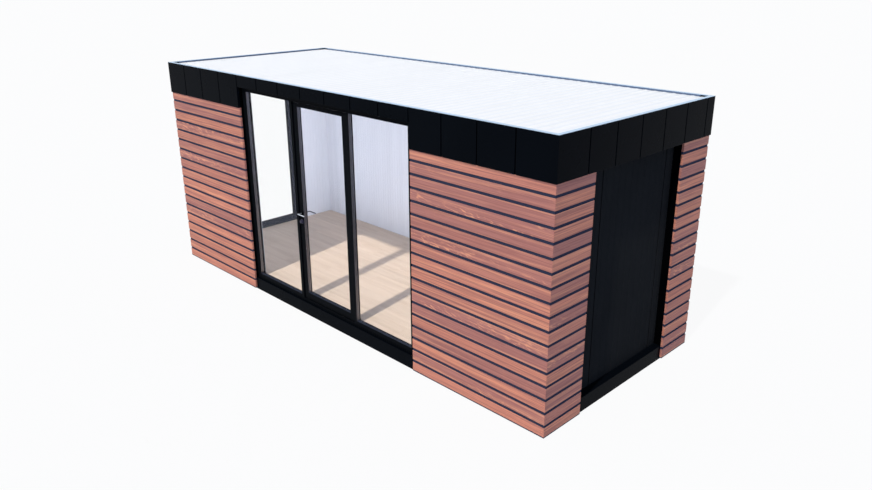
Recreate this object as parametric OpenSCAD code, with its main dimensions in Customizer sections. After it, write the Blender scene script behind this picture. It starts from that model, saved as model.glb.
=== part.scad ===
// Garden office pod: a flat-roofed cabin with boarded corners, a cassette fascia,
// a glazed front bay with a hinged door, and a window in the left end.
// Millimetres. X runs along the front, Y to the back, Z up; the origin is the centre of the underside.

/* [Overall] */
// Length over the fascia
pod_l = 6000; // [5200:100:7200]
// Depth over the fascia
pod_d = 2400; // [2250:50:3000]
// Height from the ground to the top of the parapet
pod_h = 2574; // [2480:2:2800]

/* [Fascia] */
// Drop of the fascia below the parapet top
fascia_drop = 369; // [300:1:420]
// Drop of the short cassettes over the front glazing
fascia_short = 134; // [125:1:160]
// Sheet thickness of a cassette
cassette_t = 3; // [2:0.5:4]
// Cassette pitch along the front and the back
cassette_w = 400; // [300:10:500]
// Cassette pitch along the ends, after the first one
cassette_end_w = 372; // [300:4:480]
// Open joint between two cassettes
cassette_gap = 6; // [3:1:8]
// Width of the parapet capping
capping_w = 45; // [40:1:60]
// Sheet thickness of the capping
capping_t = 3; // [2:0.5:4]
// Length of the angles in the inner corners of the parapet
angle_l = 80; // [50:5:120]
// Thickness of these angles
angle_t = 4; // [3:0.5:6]

/* [Roof] */
// Height of the parapet above the crests of the roof ribs
upstand = 16; // [12:1:40]
// Thickness of the roof panel with its ribs
roof_t = 108; // [80:1:130]
// Height of a roof rib
rib_h = 3; // [2:0.5:10]
// Pitch of the roof ribs
rib_pitch = 100; // [60:5:200]
// Width of a rib at its foot
rib_w = 40; // [20:1:50]
// Thickness of the ceiling lining
ceiling_t = 15; // [9:1:25]

/* [Walls] */
// Thickness of the boarded walls behind the boards
wall_t = 138; // [130:1:170]
// Thickness of the recessed panel in the right end
panel_t = 60; // [40:1:80]
// Front edge of the recess in the right end, from the front corner
recess_from = 524; // [420:2:700]
// Width of the boarded corner behind the recess in the right end
back_corner_w = 484; // [400:2:700]

/* [Cladding] */
// Height of a board
board_h = 99; // [70:1:140]
// Thickness of a board
board_t = 22; // [18:1:28]
// Shadow gap between two courses
board_gap = 25; // [8:1:30]
// Depth of the shadow gap
board_gap_d = 5; // [3:1:14]
// How far the fascia stands proud of the boards
fascia_lip = 10; // [5:1:20]
// Clearance between the lowest course and the ground
cladding_clear = 12; // [3:1:20]

/* [Base and floor] */
// Height of the base rail
rail_h = 145; // [120:1:170]
// Wall thickness of the base rail channel
rail_t = 6; // [4:1:10]
// Thickness of the insulated floor deck
deck_t = 160; // [155:1:180]
// Thickness of the floor finish
finish_t = 12; // [8:1:20]

/* [Front glazing] */
// Width of the front opening
opening_w = 2800; // [2500:20:3200]
// Distance from the fascia face to the face of the glazing frame
frame_in = 60; // [50:1:70]
// Depth of the glazing frame
frame_d = 52; // [46:1:60]
// Face width of the jambs
jamb_w = 73; // [50:1:90]
// Face width of the two mullions beside the door
mullion_w = 42; // [42:1:90]
// Clear width between the mullions
doorway_w = 896; // [800:2:1000]
// Height of the frame's head
head_h = 60; // [40:1:80]
// Height of the sills under the side panes
sill_h = 60; // [45:1:80]
// Height of the threshold under the door
threshold_h = 30; // [28:1:40]
// Thickness of a glass unit
glass_t = 24; // [16:1:28]
// Distance from the face of a frame or of the door leaf to its glass
glass_in = 14; // [10:1:18]

/* [Door] */
// Gap round the door leaf
door_gap = 9; // [8:1:12]
// Thickness of the door leaf
door_t = 50; // [46:1:60]
// How far the leaf's face lies behind the frame's face
door_in = 12; // [8:1:14]
// Face width of the stiles
stile_w = 68; // [56:1:90]
// Height of the top rail
top_rail_h = 38; // [34:1:70]
// Height of the bottom rail
bottom_rail_h = 69; // [50:1:120]
// Height of the lever above the ground
lever_z = 1183; // [1100:1:1300]
// Distance from the lever down to the lock cylinder
cylinder_drop = 93; // [72:1:110]
// Length of the lever's arm
lever_l = 115; // [90:1:130]
// Diameter of the lever
lever_dia = 12; // [10:1:16]
// Stand-off of the lever from the leaf's face
lever_out = 51; // [45:1:65]
// Diameter of a rose
rose_dia = 50; // [42:1:54]
// Thickness of a rose
rose_t = 8; // [5:1:10]
// Diameter of the lock cylinder's cap outside
lock_dia = 38; // [28:1:40]
// How far this cap stands out from the leaf's face
lock_out = 24; // [14:1:28]
// Diameter of the spindle
spindle_dia = 8; // [6:1:9]
// Radial clearance round the spindle and the lever's neck
pin_clear = 0.6; // [0.4:0.1:1]
// Radius of a hinge knuckle
knuckle_r = 7; // [6.5:0.5:8]
// Distance from the leaf's inner face to the hinge axis
hinge_out = 16; // [14:1:20]
// Height of a hinge
hinge_h = 100; // [80:2:120]
// Width of a hinge plate on the stile or the mullion
hinge_plate_w = 36; // [28:1:42]
// Thickness of a hinge plate and of its web
hinge_plate_t = 6; // [4:0.5:8]
// Distance from the leaf's top and bottom to the nearest hinge
hinge_end = 220; // [120:10:400]
// Radius of a hinge pin
pin_r = 4; // [3:0.5:4.5]

/* [End window] */
// Width of the opening in the left end
window_w = 980; // [600:20:1200]
// Face width of the window's jambs and head
window_bar = 70; // [50:1:90]
// Height of the window's bottom rail
window_sill_h = 90; // [70:1:140]
// How much of the window's head shows below the fascia
window_head_show = 15; // [0:1:40]

/* [Hidden] */

$fn = 48;

// Depths measured inwards from the face of the fascia
board_face = fascia_lip;
wall_out = board_face + board_t;
cassette_d = wall_out;
wall_in = wall_out + wall_t;
panel_out = wall_in - panel_t;
frame_back = frame_in + frame_d;
door_out = frame_in + door_in;
door_back = door_out + door_t;

// Heights
fascia_top = pod_h - capping_t;
fascia_z = pod_h - fascia_drop;
crest_z = pod_h - upstand;
wall_top = crest_z - roof_t;
floor_z = deck_t + finish_t;
head_z = wall_top - head_h;
sill_z = rail_h + sill_h;
leaf_z = rail_h + threshold_h + door_gap;
leaf_top = head_z - door_gap;
window_top = fascia_z + window_bar - window_head_show;
window_glass_z = rail_h + window_sill_h;
board_pitch = board_h + board_gap;
courses = ceil((fascia_z - cladding_clear) / board_pitch);

// Places along the front, from the centre
opening_x = opening_w / 2;
mullion_x = doorway_w / 2;
leaf_x = mullion_x - door_gap;
handle_x = -leaf_x + stile_w / 2;
hinge_x = leaf_x + door_gap / 2;
hinge_in = door_back + hinge_out;
hinge_heights = [leaf_z + hinge_end, (leaf_z + leaf_top) / 2, leaf_top - hinge_end];
neck_r = lever_dia / 2 - 0.5;
window_from = (pod_d - window_w) / 2;
recess_to = pod_d - back_corner_w;

// Colours
coal = [0.07, 0.075, 0.09];
timber = [0.72, 0.47, 0.39];
panel_white = [0.82, 0.83, 0.87];
oak = [0.86, 0.78, 0.68];
roof_white = [0.95, 0.96, 0.99];
cap_blue = [0.55, 0.62, 0.72];
pane = [0.75, 0.85, 0.9, 0.4];
steel = [0.6, 0.61, 0.63];

// Puts children on a side. There u runs along the side from its left corner as seen from outside,
// v runs inwards from the face of the fascia, and z is the height.
module on_front() {
    translate([-pod_l / 2, -pod_d / 2, 0])
        children();
}

module on_right() {
    translate([pod_l / 2, -pod_d / 2, 0])
        rotate(90)
            children();
}

module on_back() {
    translate([pod_l / 2, pod_d / 2, 0])
        rotate(180)
            children();
}

module on_left() {
    translate([-pod_l / 2, pod_d / 2, 0])
        rotate(-90)
            children();
}

// A box given by its low and high corners
module box(low, high) {
    translate(low)
        cube(high - low);
}

// Base and floor

// Channel open towards the inside, along u from u0 to u1
module base_channel(u0, u1) {
    translate([u0, 0, 0])
        rotate([90, 0, 90])
            linear_extrude(u1 - u0)
                polygon([
                    [wall_out, 0],
                    [wall_in, 0],
                    [wall_in, rail_t],
                    [wall_out + rail_t, rail_t],
                    [wall_out + rail_t, rail_h - rail_t],
                    [wall_in, rail_h - rail_t],
                    [wall_in, rail_h],
                    [wall_out, rail_h]
                ]);
}

module base_rails_long() {
    color(coal) {
        on_front()
            base_channel(wall_out, pod_l - wall_out);
        on_back()
            base_channel(wall_out, pod_l - wall_out);
    }
}

module base_rails_short() {
    color(coal) {
        on_right()
            base_channel(wall_in, pod_d - wall_in);
        on_left()
            base_channel(wall_in, pod_d - wall_in);
    }
}

module room_slab(z0, z1) {
    on_front()
        box([wall_in, wall_in, z0], [pod_l - wall_in, pod_d - wall_in, z1]);
}

module floor_deck() {
    color(panel_white)
        room_slab(0, deck_t);
}

module floor_finish() {
    color(oak)
        room_slab(deck_t, floor_z);
}

// Boards that carry the floor through the front opening and the window's opening, up to the frames
module floor_edges() {
    color(oak) {
        on_front()
            box([pod_l / 2 - opening_x, frame_back, rail_h], [pod_l / 2 + opening_x, wall_in, floor_z]);
        on_left()
            box([window_from, frame_back, rail_h], [pod_d - window_from, wall_in, floor_z]);
    }
}

// Walls

module wall(u0, u1, v0 = wall_out, z0 = rail_h) {
    color(panel_white)
        box([u0, v0, z0], [u1, wall_in, wall_top]);
}

module front_wall_left() {
    on_front()
        wall(wall_out, pod_l / 2 - opening_x);
}

module front_wall_right() {
    on_front()
        wall(pod_l / 2 + opening_x, pod_l - wall_out);
}

module left_wall_back() {
    on_left()
        wall(wall_in, window_from);
}

module left_wall_front() {
    on_left()
        wall(pod_d - window_from, pod_d - wall_in);
}

module left_wall_over_window() {
    on_left()
        wall(window_from, pod_d - window_from, wall_out, window_top);
}

module right_wall_front() {
    on_right()
        wall(wall_in, recess_from);
}

module right_wall_back() {
    on_right()
        wall(recess_to, pod_d - wall_in);
}

module right_panel() {
    on_right()
        wall(recess_from, recess_to, panel_out);
}

module back_wall() {
    on_back()
        wall(wall_out, pod_l - wall_out);
}

// Cladding

// Boards from u0 to u1, as a slab with a shadow gap at every course. The top course is cut at the fascia.
// An end at a corner of the pod is mitred.
module cladding(u0, u1, mitre0, mitre1) {
    color(timber)
        difference() {
            translate([0, 0, cladding_clear])
                linear_extrude(fascia_z - cladding_clear)
                    polygon([
                        [u0, board_face],
                        [u1, board_face],
                        [u1 - (mitre1 ? board_t : 0), wall_out],
                        [u0 + (mitre0 ? board_t : 0), wall_out]
                    ]);
            for (k = [1 : courses - 1])
                translate([u0 - 1, board_face - 1, cladding_clear + k * board_pitch - board_gap])
                    cube([u1 - u0 + 2, board_gap_d + 1, board_gap]);
        }
}

module cladding_front_left() {
    on_front()
        cladding(board_face, pod_l / 2 - opening_x, true, false);
}

module cladding_front_right() {
    on_front()
        cladding(pod_l / 2 + opening_x, pod_l - board_face, false, true);
}

module cladding_left_back() {
    on_left()
        cladding(board_face, window_from, true, false);
}

module cladding_left_front() {
    on_left()
        cladding(pod_d - window_from, pod_d - board_face, false, true);
}

module cladding_right_front() {
    on_right()
        cladding(board_face, recess_from, true, false);
}

module cladding_right_back() {
    on_right()
        cladding(recess_to, pod_d - board_face, false, true);
}

module cladding_back() {
    on_back()
        cladding(board_face, pod_l - board_face, true, true);
}

// Fascia

// One folded tray from u0 to u1, open at the back
module cassette(u0, u1, drop) {
    low = pod_h - drop;
    difference() {
        box([u0, 0, low], [u1, cassette_d, fascia_top]);
        box([u0 + cassette_t, cassette_t, low + cassette_t],
            [u1 - cassette_t, cassette_d + 1, fascia_top - cassette_t]);
    }
}

// Equal trays from u0 to u1, as near to the cassette pitch as they come
module cassette_row(u0, u1, drop) {
    count = max(1, round((u1 - u0) / cassette_w));
    pitch = (u1 - u0) / count;
    color(coal)
        for (k = [0 : count - 1])
            cassette(u0 + k * pitch + cassette_gap / 2, u0 + (k + 1) * pitch - cassette_gap / 2, drop);
}

// Trays on an end, between the rows of the front and the back. The one beside the front corner
// ends a cassette pitch from that corner, and the last one takes what is left.
module cassette_end_row() {
    full = floor((pod_d - cassette_w - cassette_end_w / 3) / cassette_end_w);
    seams = [
        cassette_d,
        for (k = [0 : full]) cassette_w + k * cassette_end_w,
        pod_d - cassette_d
    ];
    color(coal)
        for (k = [0 : len(seams) - 2])
            cassette(seams[k] + cassette_gap / 2, seams[k + 1] - cassette_gap / 2, fascia_drop);
}

module fascia_front_left() {
    on_front()
        cassette_row(0, pod_l / 2 - opening_x, fascia_drop);
}

module fascia_front_middle() {
    on_front()
        cassette_row(pod_l / 2 - opening_x, pod_l / 2 + opening_x, fascia_short);
}

module fascia_front_right() {
    on_front()
        cassette_row(pod_l / 2 + opening_x, pod_l, fascia_drop);
}

module fascia_right() {
    on_right()
        cassette_end_row();
}

module fascia_back() {
    on_back()
        cassette_row(0, pod_l, fascia_drop);
}

module fascia_left() {
    mirror([1, 0, 0])
        on_right()
            cassette_end_row();
}

// Angle section on the parapet: a flat top and an inner leg down to the roof, mitred at both ends
module capping(side_l) {
    leg = capping_w - capping_t;
    color(cap_blue) {
        translate([0, 0, fascia_top])
            linear_extrude(capping_t)
                polygon([[0, 0], [side_l, 0], [side_l - capping_w, capping_w], [capping_w, capping_w]]);
        translate([0, 0, crest_z])
            linear_extrude(fascia_top - crest_z)
                polygon([[leg, leg], [side_l - leg, leg], [side_l - capping_w, capping_w], [capping_w, capping_w]]);
    }
}

module capping_long() {
    on_front()
        capping(pod_l);
    on_back()
        capping(pod_l);
}

module capping_short() {
    on_right()
        capping(pod_d);
    on_left()
        capping(pod_d);
}

// An angle in an inner corner of the parapet, under the edges of the capping
module corner_angle() {
    near = capping_w;
    far = near + angle_l;
    translate([0, 0, crest_z])
        linear_extrude(fascia_top - crest_z)
            polygon([
                [near, near],
                [far, near],
                [far, near + angle_t],
                [near + angle_t, near + angle_t],
                [near + angle_t, far],
                [near, far]
            ]);
}

module parapet_corners() {
    color(coal) {
        on_front()
            corner_angle();
        on_right()
            corner_angle();
        on_back()
            corner_angle();
        on_left()
            corner_angle();
    }
}

// Roof

module roof_panel() {
    panel_l = pod_l - 2 * cassette_d;
    count = floor((panel_l - rib_w) / rib_pitch);
    start = (panel_l - count * rib_pitch) / 2;
    flat_z = crest_z - rib_h;
    crest = rib_w / 4;
    rib_points = [
        for (k = [count : -1 : 0])
            for (p = [[rib_w / 2, flat_z], [crest, crest_z], [-crest, crest_z], [-rib_w / 2, flat_z]])
                [start + k * rib_pitch + p[0], p[1]]
    ];
    color(roof_white)
        translate([-panel_l / 2, pod_d / 2 - cassette_d, 0])
            rotate([90, 0, 0])
                linear_extrude(pod_d - 2 * cassette_d)
                    polygon(concat(
                        [[0, wall_top], [panel_l, wall_top], [panel_l, flat_z]],
                        rib_points,
                        [[0, flat_z]]
                    ));
}

module ceiling() {
    color(panel_white)
        room_slab(wall_top - ceiling_t, wall_top);
}

// Front glazing

// A member of the front frame, from x0 to x1 and from z0 to z1
module front_member(x0, x1, z0, z1) {
    color(coal)
        translate([0, -pod_d / 2, 0])
            box([x0, frame_in, z0], [x1, frame_back, z1]);
}

module front_jambs() {
    front_member(-opening_x, -opening_x + jamb_w, rail_h, wall_top);
    front_member(opening_x - jamb_w, opening_x, rail_h, wall_top);
}

module front_mullions() {
    front_member(-mullion_x - mullion_w, -mullion_x, rail_h, head_z);
    front_member(mullion_x, mullion_x + mullion_w, rail_h, head_z);
}

module front_head() {
    front_member(-opening_x + jamb_w, opening_x - jamb_w, head_z, wall_top);
}

module front_sills() {
    front_member(-opening_x + jamb_w, -mullion_x - mullion_w, rail_h, sill_z);
    front_member(mullion_x + mullion_w, opening_x - jamb_w, rail_h, sill_z);
}

module door_threshold() {
    front_member(-mullion_x, mullion_x, rail_h, rail_h + threshold_h);
}

// A glass unit behind a face at depth v, from x0 to x1 and from z0 to z1
module front_glass(v, x0, x1, z0, z1) {
    color(pane)
        translate([0, v + glass_in - pod_d / 2, 0])
            box([x0, 0, z0], [x1, glass_t, z1]);
}

module side_panes() {
    front_glass(frame_in, -opening_x + jamb_w, -mullion_x - mullion_w, sill_z, head_z);
    front_glass(frame_in, mullion_x + mullion_w, opening_x - jamb_w, sill_z, head_z);
}

// Window in the left end

module window_member(u0, u1, z0, z1) {
    color(coal)
        on_left()
            box([u0, frame_in, z0], [u1, frame_back, z1]);
}

module window_jambs() {
    window_member(window_from, window_from + window_bar, rail_h, window_top);
    window_member(pod_d - window_from - window_bar, pod_d - window_from, rail_h, window_top);
}

module window_rails() {
    window_member(window_from + window_bar, pod_d - window_from - window_bar, rail_h, window_glass_z);
    window_member(window_from + window_bar, pod_d - window_from - window_bar, window_top - window_bar, window_top);
}

module window_glass() {
    glass_out = frame_in + glass_in;
    color(pane)
        on_left()
            box([window_from + window_bar, glass_out, window_glass_z],
                [pod_d - window_from - window_bar, glass_out + glass_t, window_top - window_bar]);
}

// Door

module leaf_member(x0, x1, z0, z1) {
    translate([0, -pod_d / 2, 0])
        box([x0, door_out, z0], [x1, door_back, z1]);
}

// A cylinder along Y on the handle's line, from depth v0 to depth v1
module across(z, r, v0, v1) {
    translate([handle_x, v0 - pod_d / 2, z])
        rotate([-90, 0, 0])
            cylinder(r = r, h = v1 - v0);
}

module door_stiles() {
    color(coal) {
        difference() {
            leaf_member(-leaf_x, -leaf_x + stile_w, leaf_z, leaf_top);
            across(lever_z, spindle_dia / 2 + pin_clear, door_out - 1, door_back + 1);
        }
        leaf_member(leaf_x - stile_w, leaf_x, leaf_z, leaf_top);
    }
}

module door_rails() {
    color(coal) {
        leaf_member(-leaf_x + stile_w, leaf_x - stile_w, leaf_z, leaf_z + bottom_rail_h);
        leaf_member(-leaf_x + stile_w, leaf_x - stile_w, leaf_top - top_rail_h, leaf_top);
    }
}

module door_glass() {
    front_glass(door_out, -leaf_x + stile_w, leaf_x - stile_w, leaf_z + bottom_rail_h, leaf_top - top_rail_h);
}

// Roses on both faces of the stile: bored ones for the lever's neck, plain ones over the lock cylinder,
// with the cylinder's cap on the outer one
module handle_roses() {
    color(steel) {
        for (v = [door_out - rose_t, door_back]) {
            difference() {
                across(lever_z, rose_dia / 2, v, v + rose_t);
                across(lever_z, neck_r + pin_clear, v - 1, v + rose_t + 1);
            }
            across(lever_z - cylinder_drop, rose_dia / 2, v, v + rose_t);
        }
        across(lever_z - cylinder_drop, lock_dia / 2, door_out - lock_out, door_out);
    }
}

// A neck and an arm of round bar. The neck ends at depth v0, the arm lies at depth v1.
module lever(v0, v1) {
    bar_r = lever_dia / 2;
    across(lever_z, neck_r, min(v0, v1), max(v0, v1));
    translate([handle_x, v1 - pod_d / 2, lever_z]) {
        sphere(bar_r);
        rotate([0, 90, 0])
            cylinder(r = bar_r, h = lever_l - bar_r);
        translate([lever_l - bar_r, 0, 0])
            sphere(bar_r);
    }
}

module lever_outside() {
    color(steel) {
        lever(door_out - pin_clear, door_out - lever_out);
        across(lever_z, spindle_dia / 2, door_out - rose_t, door_back + pin_clear);
    }
}

module lever_inside() {
    color(steel)
        lever(door_back + pin_clear, door_back + lever_out);
}

// A knuckle on the hinge axis
module knuckle(r, z0, z1) {
    translate([hinge_x, hinge_in - pod_d / 2, z0])
        cylinder(r = r, h = z1 - z0);
}

// A plate away from the axis to one side, and a web along its edge up to the axis
module hinge_plate(x, way, face, z0, z1) {
    far = x + way * hinge_plate_w;
    near = x + way * hinge_plate_t;
    box([min(x, far), face, z0], [max(x, far), face + hinge_plate_t, z1]);
    box([min(x, near), face, z0], [max(x, near), hinge_in, z1]);
}

// The lower half of each hinge, with the pin, on the mullion
module hinge_plates_frame() {
    color(coal)
        for (z = hinge_heights) {
            translate([0, -pod_d / 2, 0])
                hinge_plate(mullion_x, 1, frame_back, z - hinge_h / 2, z);
            knuckle(knuckle_r, z - hinge_h / 2, z);
            knuckle(pin_r, z - knuckle_r, z + hinge_h / 2 - knuckle_r);
        }
}

// The upper half of each hinge, on the stile
module hinge_plates_door() {
    color(coal)
        for (z = hinge_heights)
            difference() {
                union() {
                    translate([0, -pod_d / 2, 0])
                        hinge_plate(leaf_x, -1, door_back, z + pin_clear, z + hinge_h / 2);
                    knuckle(knuckle_r, z + pin_clear, z + hinge_h / 2);
                }
                knuckle(pin_r + pin_clear, z, z + hinge_h / 2 - knuckle_r + pin_clear);
            }
}

base_rails_long();
base_rails_short();
floor_deck();
floor_finish();
floor_edges();
front_wall_left();
front_wall_right();
left_wall_front();
left_wall_back();
left_wall_over_window();
right_wall_front();
right_wall_back();
right_panel();
back_wall();
cladding_front_left();
cladding_front_right();
cladding_left_front();
cladding_left_back();
cladding_right_front();
cladding_right_back();
cladding_back();
fascia_front_left();
fascia_front_middle();
fascia_front_right();
fascia_right();
fascia_back();
fascia_left();
capping_long();
capping_short();
parapet_corners();
roof_panel();
ceiling();
front_jambs();
front_mullions();
front_head();
front_sills();
door_threshold();
side_panes();
window_jambs();
window_rails();
window_glass();
door_stiles();
door_rails();
door_glass();
handle_roses();
lever_outside();
lever_inside();
hinge_plates_frame();
hinge_plates_door();
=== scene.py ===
"""Dresses the garden office pod: boards, fascia, roof, linings, floor, glazing, door and the studio stage."""
import math

import bmesh
import bpy
from bpy.props import FloatProperty, FloatVectorProperty, PointerProperty
from mathutils import Matrix, Vector


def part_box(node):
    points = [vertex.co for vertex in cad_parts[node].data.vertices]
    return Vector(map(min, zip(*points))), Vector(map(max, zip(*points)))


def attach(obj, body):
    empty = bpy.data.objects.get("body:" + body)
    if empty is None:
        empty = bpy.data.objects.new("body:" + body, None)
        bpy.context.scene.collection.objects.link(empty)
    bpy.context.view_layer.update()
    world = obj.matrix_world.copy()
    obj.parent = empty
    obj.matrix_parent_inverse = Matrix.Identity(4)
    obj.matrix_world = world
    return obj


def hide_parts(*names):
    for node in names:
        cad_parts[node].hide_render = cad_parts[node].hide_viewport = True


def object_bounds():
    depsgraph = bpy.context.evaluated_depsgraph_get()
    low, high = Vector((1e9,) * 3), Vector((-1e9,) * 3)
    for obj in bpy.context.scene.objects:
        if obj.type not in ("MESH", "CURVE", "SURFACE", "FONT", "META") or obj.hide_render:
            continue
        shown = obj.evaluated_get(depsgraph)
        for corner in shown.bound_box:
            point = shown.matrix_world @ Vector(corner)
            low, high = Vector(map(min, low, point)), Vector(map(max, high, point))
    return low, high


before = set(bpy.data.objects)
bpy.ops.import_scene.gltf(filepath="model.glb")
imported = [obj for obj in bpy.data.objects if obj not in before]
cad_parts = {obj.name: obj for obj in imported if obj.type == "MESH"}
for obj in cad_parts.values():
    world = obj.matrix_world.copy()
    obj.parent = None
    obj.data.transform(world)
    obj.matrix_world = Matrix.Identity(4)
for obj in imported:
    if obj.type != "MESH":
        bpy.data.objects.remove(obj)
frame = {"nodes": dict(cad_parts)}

bl_info = {
    "name": "Garden office pod",
    "version": (1, 0, 0),
    "blender": (4, 5, 0),
    "location": "View3D > Sidebar > Pod",
    "description": "Dresses the frame of a garden office pod with its boards, metalwork, linings and glazing",
    "category": "Object",
}

CAD_BOX = [list(corner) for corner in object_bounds()]
LOW, HIGH = [Vector(corner) for corner in CAD_BOX]
POD_L = HIGH.x - LOW.x
POD_D = HIGH.y - LOW.y

# On a side, u runs along it from its left corner as seen from outside, v inwards from the fascia face, z up.
SIDES = {
    "front": Matrix.Translation((LOW.x, LOW.y, 0)),
    "right": Matrix.Translation((HIGH.x, LOW.y, 0)) @ Matrix.Rotation(math.pi / 2, 4, "Z"),
    "back": Matrix.Translation((HIGH.x, HIGH.y, 0)) @ Matrix.Rotation(math.pi, 4, "Z"),
    "left": Matrix.Translation((LOW.x, HIGH.y, 0)) @ Matrix.Rotation(-math.pi / 2, 4, "Z"),
}

# Points nearer than this are one point: in a copy of a node, and where two strips of a sheet meet.
MERGE = 1e-6
MEET = 1e-5

# Faces bent less than FLAT are one face, edges bent more than SMOOTH show, and past SHARP they are rounded.
FLAT = 0.01
SMOOTH = math.radians(32)
SHARP = math.radians(40)

# Rounding of edges, in metres.
ARRIS = {
    "frame": 0.0015, "rail": 0.0018, "deck": 0.002, "edge_board": 0.0012, "plank": 0.0012, "angle": 0.0008,
    "capping": 0.0006, "hinge": 0.0006, "rose": 0.0012, "bead": 0.0006, "gasket": 0.001,
}


# Settings


def length(name, text, value):
    """A size in metres."""
    return FloatProperty(name=name, description=text, default=value, min=0, precision=4, unit="LENGTH")


def colour(name, text, value):
    """A colour, in linear light."""
    return FloatVectorProperty(name=name, description=text, default=value, min=0, max=1, subtype="COLOR")


def level(name, text, value):
    """A strength of light."""
    return FloatProperty(name=name, description=text, default=value, min=0)


def angle(name, text, degrees):
    """An angle, given in degrees."""
    return FloatProperty(name=name, description=text, default=math.radians(degrees), subtype="ANGLE")


class PodTimber(bpy.types.PropertyGroup):
    """Boards on the corners and on the back."""
    height: length("Board", "Height of a board", 0.099)
    gap: length("Gap", "Open joint between two courses", 0.025)
    groove: length("Groove", "Depth of the open joint", 0.005)
    arris: length("Arris", "Rounding of a board's edges", 0.0012)
    foot: length("Foot", "Height of the dark strip under the lowest course", 0.010)
    mid: colour("Timber", "Main colour of the boards", (0.66, 0.260, 0.168))
    plum: colour("Plum", "Colour of the cooler boards", (0.45, 0.190, 0.156))
    dark: colour("Dark grain", "Colour of the dense grain", (0.30, 0.118, 0.108))
    light: colour("Light grain", "Colour of the pale figure", (0.88, 0.40, 0.23))
    joint: colour("Joint", "Colour inside the open joints", (0.028, 0.033, 0.062))


class PodMetal(bpy.types.PropertyGroup):
    """Fascia, capping, roof, base rails, frames and ironmongery."""
    fold: length("Fold", "Radius of a folded sheet edge", 0.0018)
    tray_gap: length("Tray gap", "Open joint between two fascia trays", 0.006)
    tray_fold: length("Tray fold", "How far a tray's face turns in at a joint", 0.003)
    tray: length("Tray pitch", "Pitch of the fascia trays on the front and the back", 0.4)
    end_tray: length("End tray pitch", "Pitch of the fascia trays on the ends", 0.372)
    backing: length("Backing", "Thickness of the strips behind the trays", 0.002)
    roof_t: length("Roof sheet", "Thickness of the roof sheet", 0.0015)
    leg_drop: length("Leg drop", "How far under the capping's top its legs begin", 0.0031)
    rib_pitch: length("Rib pitch", "Pitch of the roof ribs", 0.1)
    rib_width: length("Rib width", "Width of a roof rib at its foot", 0.04)
    rib_height: length("Rib height", "Height of a roof rib", 0.003)
    coal: colour("Coal", "Powder coat of the fascia and the rails", (0.0018, 0.0028, 0.0046))
    frame: colour("Frame", "Powder coat of the frames", (0.0030, 0.0038, 0.0052))
    panel: colour("Panel", "Matt coat of the end panel", (0.0170, 0.0180, 0.0190))
    satin: colour("Satin", "Anodised glazing beads and spacer bars", (0.205, 0.205, 0.235))
    slate: colour("Slate", "Coat of the end window and of the level beads", (0.032, 0.038, 0.056))
    # On the inner lever this colour is painted shade: that lever is steel like the outer one.
    rose: colour("Rose", "Dark metal of the lock and the inner lever", (0.028, 0.027, 0.048))
    capping: colour("Capping", "Top of the parapet capping", (0.44, 0.59, 0.74))
    # The upstand colour is painted shade on the capping's inner leg, which is the same sheet as its top.
    upstand: colour("Upstand", "Inner leg of the parapet capping", (0.095, 0.14, 0.24))
    roof: colour("Roof", "Coat of the roof sheet", (0.855, 0.862, 0.865))
    steel: colour("Steel", "Brushed steel of the outer lever", (0.68, 0.73, 0.82))


class PodRoom(bpy.types.PropertyGroup):
    """Linings, floor and glass."""
    line_pitch: length("Line pitch", "Pitch of the fine upright lines in the linings", 0.05)
    line_depth: length("Line depth", "Depth of a fine line", 0.003)
    lining_t: length("Lining", "Thickness of a lining", 0.004)
    panel_pitch: length("Panel lines", "Pitch of the fine lines in the end panel", 0.1)
    front_sheet: length("Front sheet", "Width of the end panel's sheet at the front", 0.256)
    back_sheet: length("Back sheet", "Width of the end panel's sheet at the back", 0.123)
    seam: length("Seam", "Open joint between two sheets of the end panel", 0.012)
    plank_width: length("Plank width", "Width of a floor plank", 0.187)
    plank_length: length("Plank length", "Length of a floor plank", 1.258)
    plank_joint: length("Plank joint", "Joint between two floor planks", 0.0012)
    pane: length("Pane", "Thickness of one sheet of glass", 0.004)
    bead: length("Bead", "Width of the beads, spacers and gaskets round the glass", 0.003)
    bead_lip: length("Bead lip", "How far a bead stays behind the face of its frame", 0.002)
    white: colour("Lining", "Coat of the linings", (0.80, 0.80, 0.83))
    oak: colour("Oak", "Main colour of the floor", (0.77, 0.625, 0.500))
    oak_dark: colour("Oak grain", "Colour of the floor's dense grain", (0.66, 0.515, 0.400))
    # On the roof core this colour is painted shade in the soffit under the fascia.
    reveal: colour("Reveal", "Edges of the walls", (0.0008, 0.0009, 0.0012))


class PodDoor(bpy.types.PropertyGroup):
    """Hinge screws and the lock's key plug."""
    screw: length("Screw", "Radius of a hinge screw", 0.0036)
    rim: length("Rim", "Height of a screw's rim", 0.0005)
    head: length("Head", "Height of a screw's head", 0.0012)
    crown: length("Crown", "Radius of the part of the head that the cross cuts", 0.0034)
    cross: length("Cross", "Width of the cross in a screw", 0.0008)
    inset: length("Inset", "From the side of a hinge plate to its screws", 0.012)
    rise: length("Rise", "From the end of a hinge plate to its first screw", 0.012)
    spacing: length("Spacing", "From the first screw to the second", 0.024)
    seat: length("Seat", "From the front of a hinge to the face of its plate", 0.006)
    plug: length("Plug", "Radius of the key plug", 0.0085)
    plug_slot: length("Plug slot", "Width of the slot in the key plug", 0.0022)
    plug_head: length("Plug head", "Height of the key plug over the lock's cap", 0.0008)


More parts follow.
